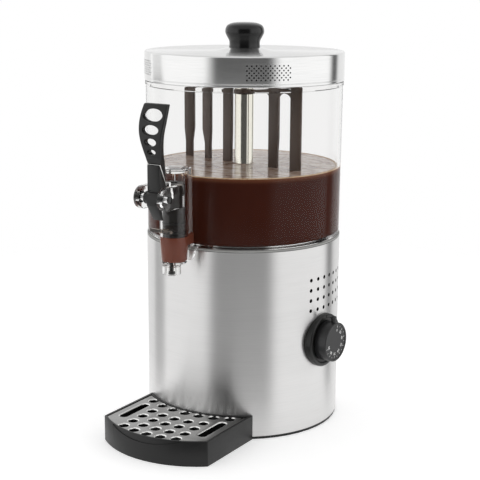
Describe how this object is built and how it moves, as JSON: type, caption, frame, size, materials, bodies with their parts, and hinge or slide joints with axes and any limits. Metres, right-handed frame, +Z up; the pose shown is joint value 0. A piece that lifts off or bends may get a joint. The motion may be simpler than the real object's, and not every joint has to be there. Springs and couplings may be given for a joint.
{
  "type": "hot chocolate dispenser",
  "caption": "Heated drink dispenser: a clear stirred tank with a front lever tap on a round steel base, a lid with a knob and a drip tray.",
  "frame": {"origin": "on the body's axis, at the underside of the base cover, where the machine stands", "axes": "+Z up along the body's axis; -Y towards the tap and the drip tray; +X towards the heat dial"},
  "size_m": [0.2531, 0.3253, 0.4668],
  "materials": {
    "brushed_steel": "fine brushed stainless steel",
    "polished_steel": "polished stainless steel",
    "plain_steel": "plain sheet and bar steel, inside",
    "zinc": "die-cast housing",
    "motor_paint": "dark painted can",
    "bronze": "sintered bronze",
    "black_plastic": "fine-grained moulded black plastic",
    "gloss_black": "polished black plastic",
    "dial_grey": "dark grey satin plastic",
    "rubber": "black rubber",
    "clear": "clear moulded plastic",
    "smoked": "smoked brown plastic",
    "paddle_brown": "dark brown food-grade plastic",
    "rocker_red": "red rocker plastic",
    "ceramic": "off-white insulating block"
  },
  "bodies": {
    "base": {"base_cover": "black_plastic", "body_shell": "brushed_steel", "top_frame": "plain_steel", "seat_ring": "rubber", "heating_plate": "polished_steel", "tank_seal": "rubber", "heating_element": "plain_steel", "safety_cutout": "ceramic", "column_tube": "polished_steel", "lower_bush": "bronze", "upper_bush": "bronze", "gearbox": "zinc", "drive_motor": "motor_paint", "motor_bracket": "plain_steel", "motor_screw_1": "plain_steel", "motor_screw_2": "plain_steel", "bracket_post_1": "plain_steel", "bracket_post_2": "plain_steel", "dial_bezel": "black_plastic", "thermostat_body": "ceramic", "switch_body": "black_plastic", "cable_inlet": "rubber", "terminal_block": "ceramic", "base_screw_1": "plain_steel", "base_screw_2": "plain_steel", "base_screw_3": "plain_steel", "base_screw_4": "plain_steel"},
    "stirrer": {"drive_shaft": "polished_steel", "shaft_coupling": "plain_steel", "mixing_paddle": "paddle_brown", "paddle_nut": "black_plastic"},
    "tank_unit": {"tank": "clear", "tank_hook": "clear", "tap_body": "clear", "tap_nozzle": "clear", "tap_cap": "clear", "tap_stop": "smoked", "lever_axle": "polished_steel", "plunger_spring": "polished_steel"},
    "lid": {"lid_shell": "brushed_steel", "lid_liner": "clear", "lid_knob": "gloss_black", "knob_screw": "polished_steel"},
    "lever": {"lever_arm": "black_plastic", "lever_trim": "polished_steel", "lever_grip": "black_plastic"},
    "valve": {"plunger": "black_plastic", "plunger_ring_1": "rubber", "plunger_ring_2": "rubber", "valve_tip": "rubber"},
    "dial": {"dial_knob": "dial_grey", "dial_spindle": "plain_steel"},
    "switch": {"switch_rocker": "rocker_red"},
    "tray": {"drip_tray": "black_plastic"},
    "grille": {"drip_grille": "polished_steel"}
  },
  "joints": [
    {"name": "paddle_spin", "type": "hinge", "parent": "base", "child": "stirrer", "pos_m": [0, 0, 0.3], "axis": [0, 0, 1], "continuous": true},
    {"name": "tank_lift", "type": "slide", "parent": "base", "child": "tank_unit", "axis": [0, 0, 1], "range_m": [0, 0.15]},
    {"name": "lid_lift", "type": "slide", "parent": "tank_unit", "child": "lid", "axis": [0, 0, 1], "range_m": [0, 0.1]},
    {"name": "lever_pull", "type": "hinge", "parent": "tank_unit", "child": "lever", "pos_m": [0, -0.1785, 0.2875], "axis": [1, 0, 0], "range_deg": [0, 24], "stiffness_Nm_per_rad": 0.2, "springref_deg": -22.35},
    {"name": "plunger_slide", "type": "slide", "parent": "tank_unit", "child": "valve", "axis": [0, 0, 1], "range_m": [0, 0.0108], "deforming": ["plunger_spring"]},
    {"name": "dial_turn", "type": "hinge", "parent": "base", "child": "dial", "pos_m": [0.11468, -0.00862, 0.106], "axis": [0.9972, -0.075, 0], "range_deg": [0, 240]},
    {"name": "switch_rock", "type": "hinge", "parent": "base", "child": "switch", "pos_m": [-0.1128, 0, 0.106], "axis": [0, 1, 0], "range_deg": [0, 9]},
    {"name": "tray_slide", "type": "slide", "parent": "base", "child": "tray", "axis": [0, -1, 0], "range_m": [0, 0.06]},
    {"name": "grille_lift", "type": "slide", "parent": "tray", "child": "grille", "axis": [0, 0, 1], "range_m": [0, 0.04]}
  ],
  "couplings": [
    {"joint": "plunger_slide", "follows": "lever_pull", "m_per_rad": 0.02573}
  ]
}
